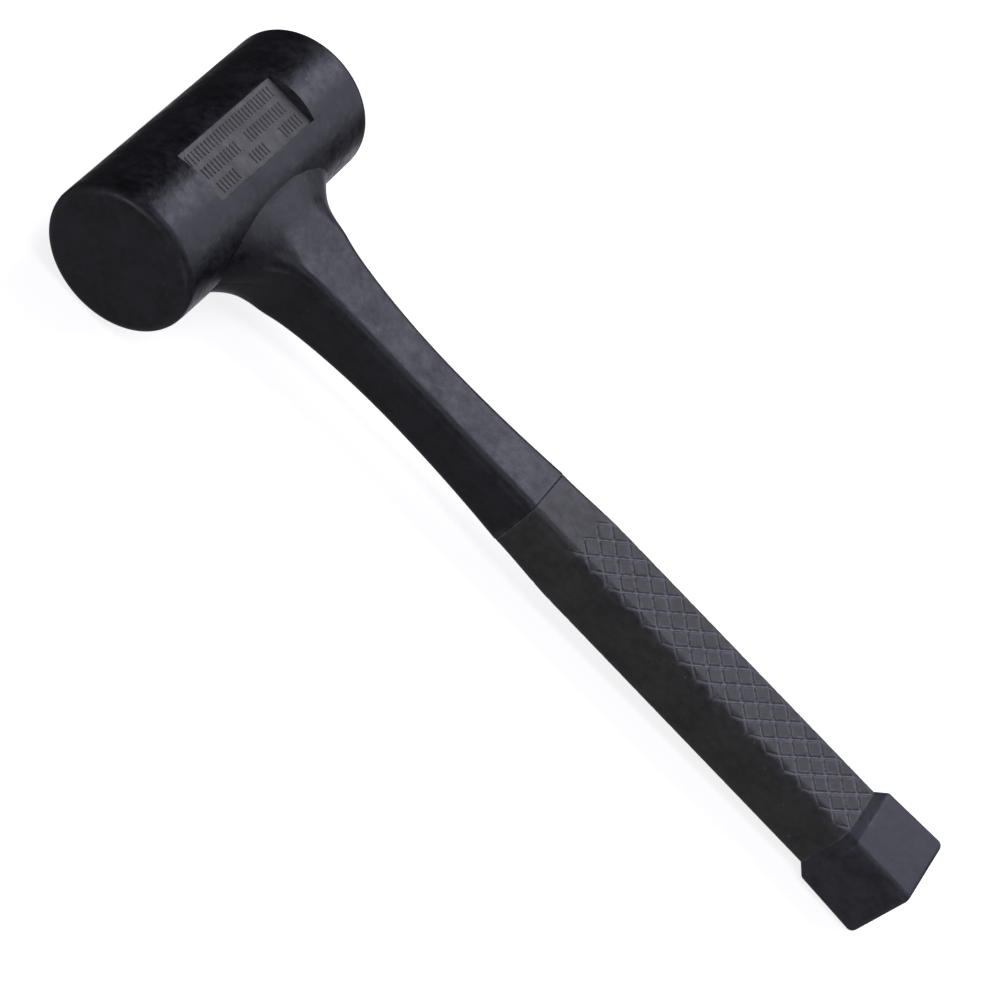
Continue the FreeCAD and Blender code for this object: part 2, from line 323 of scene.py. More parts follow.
# Vertex marks from the surface's curvature: "rubbed" on outside edges, and dust in hollows. On the grip,
# makeGrip sets the dust mark from groove depth instead, as dust plus a painted highlight.
wearLimits = {
    "rubbedFrom": 90.0, "rubbedOver": 320.0,   # mean curvature, 1/m
    "dustAndHighlightFrom": 200.0, "dustyOver": 500.0,
    "spread": 0.25,                            # share that a point takes from each neighbour
}


def markWear(thing):
    w = wearLimits
    bm = bmesh.new()
    bm.from_mesh(thing.data)
    bend = np.zeros(len(bm.verts))
    area = np.full(len(bm.verts), 1e-12)       # not quite 0, so that it divides
    for edge in bm.edges:
        share = edge.calc_face_angle_signed(0.0) * edge.calc_length() / 4
        for vert in edge.verts:
            bend[vert.index] += share
    for face in bm.faces:
        share = face.calc_area() / len(face.verts)
        for vert in face.verts:
            area[vert.index] += share
    ends = np.array([[vert.index for vert in edge.verts] for edge in bm.edges])
    bm.free()
    for total in (bend, area):
        taken = np.zeros(len(total))
        np.add.at(taken, ends[:, 0], total[ends[:, 1]] * w["spread"])
        np.add.at(taken, ends[:, 1], total[ends[:, 0]] * w["spread"])
        total += taken
    curve = bend / area
    marks = {
        "rubbed": np.clip((curve - w["rubbedFrom"]) / w["rubbedOver"], 0, 1),
        "dustAndHighlightMark": np.clip((-curve - w["dustAndHighlightFrom"]) / w["dustyOver"], 0, 1),
    }
    for key, values in marks.items():
        layer = thing.data.attributes.new(key, "FLOAT", "POINT")
        layer.data.foreach_set("value", values.astype(np.float32))


# Solid of the recess, whose walls lean outwards so that it leaves the mould.
def labelRecess():
    h = headShape
    floor = axisZ + headRadius - h["labelDepth"]
    top = axisZ + headRadius + mm
    rings = []
    for z in (floor, top):
        below = axisZ + headRadius - z
        halfX = h["labelWidth"] / 2 - below * math.tan(math.radians(h["sideDraft"]))
        halfY = h["labelLength"] / 2 - below * math.tan(math.radians(h["endDraft"]))
        x, y = headX + h["labelX"], h["labelY"]
        rings.append([(x - halfX, y - halfY, z), (x + halfX, y - halfY, z),
                      (x + halfX, y + halfY, z), (x - halfX, y + halfY, z)])
    return loftRings("labelRecess", rings, False)


# label bars
barShape = {
    # each row's groups of bars, from and to as shares of the row
    "rows": (((0.0, 1.0),),
             ((0.03, 0.42), (0.54, 0.96)),
             ((0.05, 0.24), (0.44, 0.6), (0.8, 1.0))),
    "rowPitch": 5.9 * mm, "barPitch": 1.75 * mm, "margin": 2.4 * mm,
    "along": 3.9 * mm, "across": 0.8 * mm, "height": 0.26 * mm, "sunk": 0.1 * mm,
    "edge": 0.2 * mm, "edgeSteps": 2, "sharpOver": 40,
}


# The identifier that a modifier knows a tree's input by.
def socketId(tree, name):
    for item in tree.interface.items_tree:
        if item.name == name and getattr(item, "in_out", "") == "INPUT":
            return item.identifier
    raise KeyError(name)


# Runs a Geometry Nodes tree on an object and keeps the result as a plain mesh.
def bakeNodes(name, tree, values, base):
    modifier = base.modifiers.new("nodes", "NODES")
    modifier.node_group = tree
    for key, value in values.items():
        modifier[socketId(tree, key)] = value
    applyModifier(base, modifier)
    base.name = name
    return base


# Geometry Nodes tree with a named input for each size, of the kind that its value is.
def newTree(name, sizes):
    tree = bpy.data.node_groups.new(name, "GeometryNodeTree")
    tree.interface.new_socket("Geometry", in_out="INPUT", socket_type="NodeSocketGeometry")
    for key, value in sizes.items():
        kind = "NodeSocketFloat"
        if isinstance(value, int):
            kind = "NodeSocketInt"
        elif isinstance(value, tuple):
            kind = "NodeSocketVector"
        elif isinstance(value, bpy.types.Material):
            kind = "NodeSocketMaterial"
        tree.interface.new_socket(key, in_out="INPUT", socket_type=kind)
    tree.interface.new_socket("Geometry", in_out="OUTPUT", socket_type="NodeSocketGeometry")
    return tree, addNode(tree, "NodeGroupInput").outputs


# Turns instances into real geometry, gives it its material and ends the tree.
def endTree(tree, geometry, material):
    real = addNode(tree, "GeometryNodeRealizeInstances", {"Geometry": geometry})
    painted = addNode(tree, "GeometryNodeSetMaterial", {
        "Geometry": real.outputs[0], "Material": material})
    addNode(tree, "NodeGroupOutput", {0: painted.outputs[0]})


# Three rows of plain upright bars, in groups, that stand on the recess's floor.
def makeLabelBars(material):
    b, h = barShape, headShape
    wall = h["labelDepth"] * math.tan(math.radians(h["endDraft"]))
    run = h["labelLength"] - 2 * (b["margin"] + wall)
    floor = axisZ + headRadius - h["labelDepth"]
    points = []
    for row, groups in enumerate(b["rows"]):
        x = headX + h["labelX"] + (row - (len(b["rows"]) - 1) / 2) * b["rowPitch"]
        for start, end in groups:
            count = int((end - start) * run / b["barPitch"]) + 1
            for i in range(count):
                y = h["labelY"] + run * (start - 0.5) + i * b["barPitch"]
                points.append((x, y, floor + (b["height"] - b["sunk"]) / 2))
    sizes = {"barSize": (b["along"], b["across"], b["height"] + b["sunk"]), "material": material}
    tree, given = newTree("labelBars", sizes)
    cube = addNode(tree, "GeometryNodeMeshCube", {"Size": given["barSize"]})
    bars = addNode(tree, "GeometryNodeInstanceOnPoints", {
        "Points": given["Geometry"], "Instance": cube.outputs["Mesh"]})
    endTree(tree, bars.outputs[0], given["material"])
    bars = bakeNodes("labelBars", tree, sizes, meshObject("labelPoints", points, []))
    bevel = bars.modifiers.new("edge", "BEVEL")
    bevel.width = b["edge"]
    bevel.segments = b["edgeSteps"]
    applyModifier(bars, bevel)
    smoothByAngle(bars, b["sharpOver"])
    markWhole(bars, "panel")
    print("label bars", len(points))
    return bars


# parting line
flashShape = {
    "beadRadius": 0.16 * mm, "beadSides": 8,
    "proud": 0.06 * mm,                    # how far the bead stands out of the surface
    "rimSteps": 8, "neckSteps": 60, "sharpOver": 60,
}


# Half of the outline in the plane through both axes: the +Y side, from the seam round the head.
def outlineHalf(inset):
    h, f = headShape, flashShape
    radius = headRadius - h["skin"] - inset
    end = headLength / 2 - h["skin"] - inset
    rim = h["rim"] - inset
    shankEnd = seamX - headX - neckShape["lip"]
    points = []
    for i in range(f["neckSteps"] + 1):
        x = shankEnd + (headRadius - shankEnd) * i / f["neckSteps"]
        halfY = neckHalves(x)[0]
        if halfY < end - rim:
            points.append((headX + x, halfY - inset))
    for i in range(f["rimSteps"] + 1):
        a = math.pi / 2 * i / f["rimSteps"]
        points.append((headX + radius - rim + rim * math.cos(a), end - rim + rim * math.sin(a)))
    for i in range(f["rimSteps"] + 1):
        a = math.pi / 2 * i / f["rimSteps"]
        points.append((headX - radius + rim - rim * math.sin(a), end - rim + rim * math.cos(a)))
    return points


# Fine bead left where the two halves of the mould met.
def makePartingFlash(material):
    f = flashShape
    half = outlineHalf(f["beadRadius"] - f["proud"])
    line = half + [(x, -y) for x, y in reversed(half)]
    path = meshObject("flashPath", [(x, y, axisZ) for x, y in line], [])
    path.data.edges.add(len(line) - 1)
    for i, edge in enumerate(path.data.edges):
        edge.vertices = (i, i + 1)
    sizes = {key: f[key] for key in ("beadRadius", "beadSides")}
    sizes["material"] = material
    tree, given = newTree("partingFlash", sizes)
    curve = addNode(tree, "GeometryNodeMeshToCurve", {"Mesh": given["Geometry"]})
    profile = addNode(tree, "GeometryNodeCurvePrimitiveCircle", {
        "Resolution": given["beadSides"], "Radius": given["beadRadius"]})
    bead = addNode(tree, "GeometryNodeCurveToMesh", {
        "Curve": curve.outputs[0], "Profile Curve": profile.outputs[0], "Fill Caps": True})
    endTree(tree, bead.outputs[0], given["material"])
    flash = bakeNodes("partingFlash", tree, sizes, path)
    fixNormals(flash)
    smoothByAngle(flash, f["sharpOver"])
    print("parting flash", len(flash.data.polygons), "faces")
    return flash


# vent nib
nibShape = {
    "x": -1.7 * mm, "y": 33.5 * mm, "radius": 0.65 * mm, "around": 20, "sharpOver": 70,
    # radius and height of each ring, as shares, up to the head's full size
    "profile": ((1.0, -1.5), (1.0, -0.2), (0.86, 0.45), (0.55, 0.85), (0.2, 1.0)),
    "dustAndHighlightMark": 1.8,                          # worn pale, because it stands proud
}


# Low dome where a vent pin of the mould met the top of the head.
def makeVentNib():
    n = nibShape
    surface = axisZ + math.sqrt((headRadius - headShape["skin"]) ** 2 - n["x"] ** 2)
    full = axisZ + headRadius - surface
    rings = []
    for share, rise in n["profile"]:
        reach = n["radius"] * share
        ring = []
        for j in range(n["around"]):
            a = 2 * math.pi * j / n["around"]
            ring.append((headX + n["x"] + reach * math.cos(a), n["y"] + reach * math.sin(a),
                         surface + full * rise))
        rings.append(ring)
    nib = loftRings("ventNib", rings, False)
    smoothByAngle(nib, n["sharpOver"])
    markWhole(nib, "dustAndHighlightMark", n["dustAndHighlightMark"])
    print("vent nib", len(nib.data.polygons), "faces")
    return nib


# shot
shotShape = {
    "diameter": 6.35 * mm, "gap": 0.05 * mm,
    "rings": 2,                            # rings of balls round the middle one of each layer
    "turn": 17,                            # degrees from one layer to the next
    "fineness": 2,                         # 80 faces a ball, because there are many
}


# Flat layers of balls across the bore, each turned a little from the last.
def makeShotBalls(material):
    b = shotShape
    step = b["diameter"] + b["gap"]
    layers = round((shotHigh.y - shotLow.y - b["diameter"]) / step) + 1
    span = range(-b["rings"], b["rings"] + 1)
    spots = []
    for i in span:
        for j in span:
            if abs(i + j) <= b["rings"]:
                spots.append(Vector((step * (i + j / 2), step * j * math.sqrt(3) / 2)))
    points = []
    for layer in range(layers):
        turn = Matrix.Rotation(math.radians(b["turn"]) * layer, 2)
        for spot in spots:
            x, z = turn @ spot
            points.append((headX + x, shotLow.y + b["diameter"] / 2 + layer * step, axisZ + z))
    sizes = {"radius": b["diameter"] / 2, "fineness": b["fineness"], "material": material}
    tree, given = newTree("shotBalls", sizes)
    ball = addNode(tree, "GeometryNodeMeshIcoSphere", {
        "Radius": given["radius"], "Subdivisions": given["fineness"]})
    balls = addNode(tree, "GeometryNodeInstanceOnPoints", {
        "Points": given["Geometry"], "Instance": ball.outputs["Mesh"]})
    endTree(tree, balls.outputs[0], given["material"])
    charge = bakeNodes("shotBalls", tree, sizes, meshObject("shotPoints", points, []))
    charge.data.shade_smooth()
    print("shot balls", len(points))
    return charge


# grip
gripShape = {
    "startHalf": 11.35 * mm, "fullHalf": 12.1 * mm, "endHalf": 12.3 * mm, "swell": 26 * mm,
    "corner": 4 * mm, "lip": 0.22 * mm,
    "spigotHalf": 9.4 * mm, "spigotLength": 14.9 * mm, "spigotCorner": 3 * mm,
    "plainSteps": 24, "sideSteps": 14, "sharpOver": 60,
}
netShape = {
    "pitchX": 7.8 * mm, "pitchY": 8.5 * mm, "start": 17.5 * mm, "margin": 0.6 * mm,
    "grooveWidth": 1.4 * mm, "grooveDepth": 0.43 * mm,
    "softened": 0.3,                       # share of the groove's profile that is rounded
    "outerRow": 11.2 * mm,                 # the last corners, on the rounded edge
    "dustAndHighlightFrom": 0.6,                      # share of the depth from which pale dust and a painted highlight stay, standing in for the lit walls of the grooves
    "steps": 24,                           # mesh steps across one diamond
}


# Half of the grip's side, which swells from the seam and then widens slowly to the butt.
def gripHalf(x):
    g = gripShape
    swell = smoothStep((x - seamX) / g["swell"]) * (g["fullHalf"] - g["startHalf"])
    taper = (x - seamX) / (buttX - seamX) * (g["endHalf"] - g["fullHalf"])
    return g["startHalf"] + swell + taper


# Point and outward normal at arc length s from the middle of the upper side, towards +Y.
def walkSection(s, half, corner):
    flat = half - corner
    arc = corner * math.pi / 2
    if s <= flat:
        return s, half, 0.0, 1.0
    if s <= flat + arc:
        a = (s - flat) / corner
        return flat + corner * math.sin(a), flat + corner * math.cos(a), math.sin(a), math.cos(a)
    return half, max(half - corner - (s - flat - arc), 0.0), 1.0, 0.0


# Arc lengths over a quarter of the section, and each one's place across the diamonds.
def gripSteps(half):
    g, n = gripShape, netShape
    rowStep = n["pitchY"] / n["steps"]
    inner, outer = n["pitchY"], n["outerRow"]
    quarter = 2 * (half - g["corner"]) + g["corner"] * math.pi / 2
    marks = [(i * rowStep, i * rowStep) for i in range(n["steps"])]
    outerCount = n["steps"] // 2
    for i in range(outerCount):
        marks.append((inner + (outer - inner) * i / outerCount, inner + rowStep * i))
    for i in range(g["sideSteps"] + 1):
        s = outer + (quarter - outer) * i / g["sideSteps"]
        marks.append((s, 1.5 * n["pitchY"] + s - outer))
    return marks


def makeGrip():
    g, n = gripShape, netShape
    first = seamX + n["start"]
    stepX = n["pitchX"] / n["steps"]
    netEnd = buttX - n["margin"]
    lipEnd = seamX + g["lip"]
    xs = [seamX, lipEnd]
    for i in range(1, g["plainSteps"] + 1):
        xs.append(lipEnd + (first - n["grooveWidth"] - lipEnd) * i / g["plainSteps"])
    place = first - 2 * stepX
    while place < netEnd:
        xs.append(place)
        place += stepX
    xs.append(buttX)
    rings = []
    grooves = {}                           # how deep in a groove a place lies, for the dust and painted highlight there
    for x in xs:
        half = gripHalf(x)
        inset = g["lip"] if x == seamX else 0.0
        quarter = []
        for s, across in gripSteps(half):
            y, z, ny, nz = walkSection(s, half - inset, g["corner"] - inset)
            fall = 0.0
            if first - n["grooveWidth"] < x < netEnd:
                fall = netDepth(x, across)
            quarter.append((y - ny * fall, z - nz * fall, fall / n["grooveDepth"]))
        ring = [(x, y, axisZ + z) for y, z, _ in quarter[:-1]]
        ring += [(x, y, axisZ - z) for y, z, _ in reversed(quarter)][:-1]
        ring += [(x, -y, axisZ - z) for y, z, _ in quarter[:-1]]
        ring += [(x, -y, axisZ + z) for y, z, _ in reversed(quarter)][:-1]
        rings.append(ring)
        for y, z, share in quarter:        # same in all four quarters
            grooves[gripPlace(x, y, z)] = share

    # the butt's spigot, the bore for the core and the socket for the neck's spigot, ray by ray
    rays = [math.atan2(z - axisZ, y) for _, y, z in rings[-1]]
    neckEnd, buttEnd = seamX + headShape["spigotLength"], buttX + g["spigotLength"]
    neckSpigot = (headShape["spigotHalf"], headShape["spigotCorner"])
    buttSpigot = (g["spigotHalf"], g["spigotCorner"])
    bore = (coreRadius, coreRadius)
    inside = ((buttX, buttSpigot), (buttEnd, buttSpigot), (buttEnd, bore),
              (neckEnd, bore), (neckEnd, neckSpigot), (seamX, neckSpigot))
    for x, (half, corner) in inside:
        rings.append([squareAt(x, half, corner, ray) for ray in rays])
    grip = loftRings("gripSleeve", rings, True)
    smoothByAngle(grip, g["sharpOver"])
    markWear(grip)
    # pale dust along the bottom of each groove, which also paints in the highlight of the grooves' lit
    # walls
    dustAndHighlight = grip.data.attributes["dustAndHighlightMark"].data
    for vert in grip.data.vertices:
        share = grooves.get(gripPlace(vert.co.x, abs(vert.co.y), abs(vert.co.z - axisZ)), 0.0)
        dustAndHighlight[vert.index].value = max(share - n["dustAndHighlightFrom"], 0.0) / (1 - n["dustAndHighlightFrom"])
    print("grip", len(grip.data.polygons), "faces")
    return grip


# A place in whole microns, by which a point of the mesh is known again.
def gripPlace(x, y, z):
    return tuple(round(value / mm, 3) for value in (x, y, z))


# Point of a rounded square in a given direction from its middle; all corner makes it round.
def squareAt(x, half, corner, angle):
    c, s = math.cos(angle), math.sin(angle)
    scale = half / max(abs(c), abs(s))
    y, z = c * scale, s * scale
    flat = half - corner
    if abs(y) > flat and abs(z) > flat:
        cy, cz = math.copysign(flat, y), math.copysign(flat, z)
        b = c * cy + s * cz
        d = b * b - (cy * cy + cz * cz - corner * corner)
        reach = b + math.sqrt(max(d, 0.0))
        y, z = c * reach, s * reach
    return (x, y, axisZ + z)


# How deep the surface lies below the grip's plain form.
def netDepth(x, across):
    n = netShape
    first = seamX + n["start"]
    reach = n["grooveWidth"] / 2
    edge = 1.5 * n["pitchY"]               # the outermost corners
    if across > edge + reach:
        return 0.0
    u = (x - first) / n["pitchX"]
    v = across / n["pitchY"]
    side = n["pitchX"] * n["pitchY"] / math.hypot(n["pitchX"], n["pitchY"])
    fall = 0.0
    for line in (u + v, u - v):
        off = abs(line + 0.5 - round(line + 0.5)) * side
        if off < reach:
            fall = max(fall, 1 - off / reach)
    sideFade = smoothStep((edge + reach - across) / n["grooveWidth"])
    startFade = smoothStep((x - first + reach) / n["grooveWidth"])
    profile = (1 - n["softened"]) * fall + n["softened"] * smoothStep(fall)
    return profile * n["grooveDepth"] * sideFade * startFade


# butt
buttShape = {
    "startHalf": 14.25 * mm, "endHalf": 14.95 * mm, "corner": 3 * mm,
    "shoulderLength": 3.6 * mm, "shoulderStep": 2.2 * mm, "shoulderEdge": 0.5 * mm,
    "rim": 2.2 * mm, "rimSteps": 8, "sideSteps": 8, "shoulderSteps": 5,
    "flatSteps": 10, "cornerSteps": 12, "hollowSides": 64, "sharpOver": 22,
    "faceRings": (0.8, 0.55, 0.3),         # rings of the end face, as shares of its flat
    "funnel": (0.5, 0.49),                 # start of the spigot's end face, in core radii
}


def makeButt():
    b, g = buttShape, gripShape
    ringSteps = {key: b[key] for key in ("flatSteps", "cornerSteps")}
    shoulderEnd = buttX + b["shoulderLength"]

    # half side along the block, which widens towards its end
    def sideHalf(x):
        share = (x - shoulderEnd) / (buttHigh.x - shoulderEnd)
        return b["startHalf"] + (b["endHalf"] - b["startHalf"]) * share

    spigotEnd = buttX + g["spigotLength"]
    funnelHalf, funnelCorner = (coreRadius * share for share in b["funnel"])
    outline = [(spigotEnd, funnelHalf, funnelCorner),
               (spigotEnd, g["spigotHalf"], g["spigotCorner"]),
               (buttX, g["spigotHalf"], g["spigotCorner"])]
    edge = b["shoulderEdge"]
    slope = b["shoulderStep"] / b["shoulderLength"]
    for i in range(b["shoulderSteps"] + 1):        # slope of the shoulder, short of its rounded edge
        x = (b["shoulderLength"] - edge) * i / b["shoulderSteps"]
        outline.append((buttX + x, b["startHalf"] - b["shoulderStep"] + slope * x, b["corner"]))
    widened = sideHalf(shoulderEnd + edge) - b["startHalf"]
    for i in range(1, b["shoulderSteps"] + 1):     # rounded edge between the shoulder and the side
        t = i / b["shoulderSteps"]
        half = b["startHalf"] - slope * edge * (1 - t) ** 2 + widened * t ** 2
        outline.append((shoulderEnd - edge + 2 * edge * t, half, b["corner"]))
    rimStart = buttHigh.x - b["rim"]
    for i in range(1, b["sideSteps"]):
        x = shoulderEnd + edge + (rimStart - shoulderEnd - edge) * i / b["sideSteps"]
        outline.append((x, sideHalf(x), b["corner"]))
    for i in range(b["rimSteps"] + 1):             # rounded rim of the end face
        a = math.pi / 2 * i / b["rimSteps"]
        inset = b["rim"] * (1 - math.cos(a))
        x = rimStart + b["rim"] * math.sin(a)
        outline.append((x, sideHalf(rimStart) - inset, b["corner"] - inset))
    endHalf = sideHalf(rimStart) - b["rim"]
    for share in b["faceRings"]:
        outline.append((buttHigh.x, endHalf * share, (b["corner"] - b["rim"]) * share))
    rings = [squareRing(x, half, corner, **ringSteps) for x, half, corner in outline]
    butt = loftRings("buttCap", rings, False)
    hollowEnd = coreHigh.x + 2 * mm
    hollow = turnedAboutHandle("coreEnd", coreRadius, spigotEnd - mm, hollowEnd, b["hollowSides"])
    combine(butt, hollow, "DIFFERENCE")
    smoothByAngle(butt, b["sharpOver"])
    markWear(butt)
    print("butt", len(butt.data.polygons), "faces")
    return butt


# finishes
def newMaterial(name):
    material = bpy.data.materials.new(name)
    material.use_nodes = True
    tree = material.node_tree
    tree.nodes.clear()
    shader = addNode(tree, "ShaderNodeBsdfPrincipled")
    addNode(tree, "ShaderNodeOutputMaterial", {"Surface": shader.outputs[0]})
    return material, tree, shader


# Patterns of the urethane. Each scale is one over the size of a patch.
urethanePatterns = {
    "cloud": {"Scale": 1 / (14.29 * mm), "Detail": 5.0, "Roughness": 0.6},     # drifts of bloom
    "blotch": {"Scale": 1 / (3.125 * mm), "Detail": 4.0, "Roughness": 0.65},   # finger marks, stains
    "grain": {"Scale": 1 / (0.6667 * mm), "Detail": 2.0, "Roughness": 0.6},    # coarsened to show
    "specks": {"Scale": 1 / (1.613 * mm), "Detail": 3.0, "Roughness": 0.7},    # loose dust
    "scuffs": {"Scale": 1 / (4.762 * mm), "Detail": 6.0, "Roughness": 0.75},
    "wave": {"Scale": 1 / (6.667 * mm), "Detail": 2.0, "Roughness": 0.6},      # hollows of shrinkage
}
# Which stretch of a pattern counts, and what it becomes.
urethaneRanges = {
    "worn": {"From Min": 0.8, "From Max": 1.2},
    "gloss": {"From Min": 0.75, "From Max": 1.25},
    "rubbed": {"From Min": 0.42, "From Max": 0.66, "To Max": 0.4},
    "dustAndHighlightMark": {"From Min": 0.3, "From Max": 0.7, "To Min": 0.55, "To Max": 0.85},
    "loose": {"From Min": 0.67, "From Max": 0.77, "To Max": 0.4},
}
urethaneSkin = {
    "panel": "5e5d59", "paleRough": 0.25, "panelRough": 0.15,
    "waveDepth": 0.5 * mm, "grainDepth": 0.07 * mm,
}
castUrethane = {
    "deep": "0d0e10", "worn": "222327", "dustAndHighlight": "6a6b72",
    "roughLow": 0.29, "roughHigh": 0.52, "grain": 0.4, "wave": 0.6,
}
# the grip's very pale dust colour also serves as the painted highlight along its grooves
gripUrethane = {
    "deep": "2c2c29", "worn": "40403b", "dustAndHighlight": "a2a2aa",
    "roughLow": 0.34, "roughHigh": 0.6, "grain": 0.5, "wave": 0.4,
}
buttUrethane = {
    "deep": "232428", "worn": "3a3b40", "dustAndHighlight": "6a6b72",
    "roughLow": 0.34, "roughHigh": 0.6, "grain": 0.5, "wave": 0.7,
}


# Polyurethane cast against a blasted mould: near black, waxy sheen, cloudy gloss, pale where it rubs.
def urethane(name, look):
    skin, ranges = urethaneSkin, urethaneRanges
    material, tree, shader = newMaterial(name)
    place = addNode(tree, "ShaderNodeTexCoord").outputs["Object"]
    fac = {}
    for key, settings in urethanePatterns.items():
        fac[key] = addNode(tree, "ShaderNodeTexNoise", {"Vector": place, **settings}).outputs["Fac"]
    for key in ("panel", "rubbed", "dustAndHighlightMark"):
        fac[key] = addNode(tree, "ShaderNodeAttribute", attribute_name=key).outputs["Fac"]

    # worn clouds over the deep colour, and the panel's own colour
    mixed = addNode(tree, "ShaderNodeMath", {0: fac["cloud"], 1: fac["blotch"]}, operation="ADD")
    worn = addNode(tree, "ShaderNodeMapRange", {"Value": mixed.outputs[0], **ranges["worn"]})
    body = addNode(tree, "ShaderNodeMix", {
        0: worn.outputs[0], 6: linearColor(look["deep"]), 7: linearColor(look["worn"])}, data_type="RGBA")
    tone = addNode(tree, "ShaderNodeMix", {
        0: fac["panel"], 6: body.outputs[2], 7: linearColor(skin["panel"])}, data_type="RGBA")

    # pale where an edge is rubbed, where dust stays in a hollow (in the grip's grooves this is also a
    # painted highlight) and where a speck of it lies
    scuffed = addNode(tree, "ShaderNodeMapRange", {"Value": fac["scuffs"], **ranges["rubbed"]})
    settled = addNode(tree, "ShaderNodeMapRange", {"Value": fac["blotch"], **ranges["dustAndHighlightMark"]})
    loose = addNode(tree, "ShaderNodeMapRange", {"Value": fac["specks"], **ranges["loose"]})
    rubbed = addNode(tree, "ShaderNodeMath", {
        0: fac["rubbed"], 1: scuffed.outputs[0]}, operation="MULTIPLY")
    dustAndHighlightMark = addNode(tree, "ShaderNodeMath", {
        0: fac["dustAndHighlightMark"], 1: settled.outputs[0]}, operation="MULTIPLY")
    marked = addNode(tree, "ShaderNodeMath", {
        0: rubbed.outputs[0], 1: dustAndHighlightMark.outputs[0]}, operation="MAXIMUM")
    pale = addNode(tree, "ShaderNodeMath", {
        0: marked.outputs[0], 1: loose.outputs[0]}, operation="MAXIMUM")
    color = addNode(tree, "ShaderNodeMix", {
        0: pale.outputs[0], 6: tone.outputs[2], 7: linearColor(look["dustAndHighlight"])}, data_type="RGBA")
    tree.links.new(color.outputs[2], shader.inputs["Base Color"])

    # gloss follows the clouds, and is lost on pale places and on the panel
    gloss = addNode(tree, "ShaderNodeMapRange", {
        "Value": mixed.outputs[0], **ranges["gloss"],
        "To Min": look["roughLow"], "To Max": look["roughHigh"]})
    palest = addNode(tree, "ShaderNodeMath", {
        0: pale.outputs[0], 1: skin["paleRough"], 2: gloss.outputs[0]}, operation="MULTIPLY_ADD")
    rough = addNode(tree, "ShaderNodeMath", {
        0: fac["panel"], 1: skin["panelRough"], 2: palest.outputs[0]}, operation="MULTIPLY_ADD")
    tree.links.new(rough.outputs[0], shader.inputs["Roughness"])

    slow = addNode(tree, "ShaderNodeBump", {
        "Height": fac["wave"], "Strength": look["wave"], "Distance": skin["waveDepth"]})
    bumps = addNode(tree, "ShaderNodeMath", {0: fac["grain"], 1: fac["blotch"]}, operation="ADD")
    fine = addNode(tree, "ShaderNodeBump", {
        "Height": bumps.outputs[0], "Strength": look["grain"], "Distance": skin["grainDepth"],
        "Normal": slow.outputs[0]})
    tree.links.new(fine.outputs[0], shader.inputs["Normal"])
    return material


steelPatterns = {
    "patch": {"Scale": 1 / (6.25 * mm), "Detail": 4.0, "Roughness": 0.6},      # stains and heat
    "marks": {"Scale": 1 / (1.111 * mm), "Detail": 3.0},                       # of drawing or turning
    "stained": {"From Min": 0.35, "From Max": 0.7},
    "smoother": 0.08, "rougher": 0.12, "markDepth": 0.04 * mm,
}
# stretch is how much finer the marks are along each axis, so lines run where it is small.
steelLooks = {
    "canister_steel": {                    # cold drawn, with faint lines along the tube
        "name": "drawnTubeSteel", "color": "8f9093", "dark": "6f6f72",
        "rough": 0.4, "grain": 0.3, "stretch": (6.0, 0.4, 6.0)},
    "cap_steel": {                         # pressed from bright sheet
        "name": "pressedSheetSteel", "color": "9a9b9d", "dark": "7c7b7a",
        "rough": 0.34, "grain": 0.2, "stretch": (1.0, 1.0, 1.0)},
    "plug_steel": {                        # yellowish, smooth plating
        "name": "zincPlatedSteel", "color": "b8ab7c", "dark": "8f8a74",
        "rough": 0.3, "grain": 0.15, "stretch": (1.0, 1.0, 1.0)},
    "weld_metal": {                        # dark and rippled, with blue heat tint
        "name": "weldBeadMetal", "color": "5b5654", "dark": "3b3f4c",
        "rough": 0.5, "grain": 0.8, "stretch": (1.0, 1.0, 1.0)},
    "socket_steel": {                      # turned, with rings round the handle's axis
        "name": "turnedSteel", "color": "8b8c8f", "dark": "727274",
        "rough": 0.32, "grain": 0.35, "stretch": (9.0, 1.0, 1.0)},
    "core_steel": {                        # dark mill scale, with lines along the tube
        "name": "millScaleTube", "color": "56575b", "dark": "3a3a3e",
        "rough": 0.45, "grain": 0.35, "stretch": (0.3, 5.0, 5.0)},
    "pin_steel": {                         # ground bright
        "name": "groundPinSteel", "color": "a6a7aa", "dark": "8c8c90",
        "rough": 0.22, "grain": 0.15, "stretch": (4.0, 4.0, 0.4)},
    "ring_steel": {                        # turned, with fine rings
        "name": "turnedRingSteel", "color": "93949a", "dark": "77777a",
        "rough": 0.35, "grain": 0.3, "stretch": (8.0, 1.0, 1.0)},
    "shot_steel": {                        # tumbled bright
        "name": "tumbledShotSteel", "color": "a0a0a2", "dark": "7f7f80",
        "rough": 0.25, "grain": 0.15, "stretch": (1.0, 1.0, 1.0)},
}


